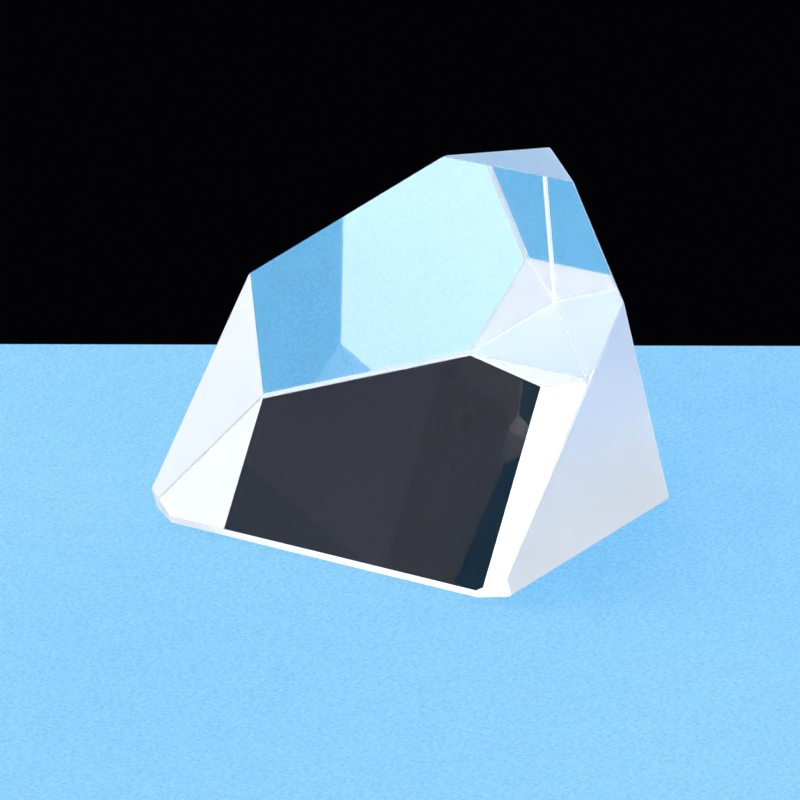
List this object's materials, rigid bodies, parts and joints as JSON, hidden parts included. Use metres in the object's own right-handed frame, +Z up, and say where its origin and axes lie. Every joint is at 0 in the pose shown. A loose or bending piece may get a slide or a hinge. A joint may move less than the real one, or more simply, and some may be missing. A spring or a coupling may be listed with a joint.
{
  "type": "roof prism",
  "caption": "Polished glass roof prism: working faces 45 degrees apart, a 90 degree roof across the far end, ground sides and facets, and a blunt front edge.",
  "frame": {"origin": "where the optical axis goes through the base face: middle of the width, 15 mm in from the theoretical front edge", "axes": "+X from the front edge towards the roof, +Y to the left when looking along +X, +Z up, square to the base face"},
  "size_m": [0.0362, 0.03, 0.0231],
  "materials": {
    "optical_glass": "clear optical glass; front, base and roof faces polished; sides, facets, front strip, corner cuts and bevels fine ground"
  },
  "bodies": {
    "root": {"prism": "optical_glass"}
  },
  "joints": []
}
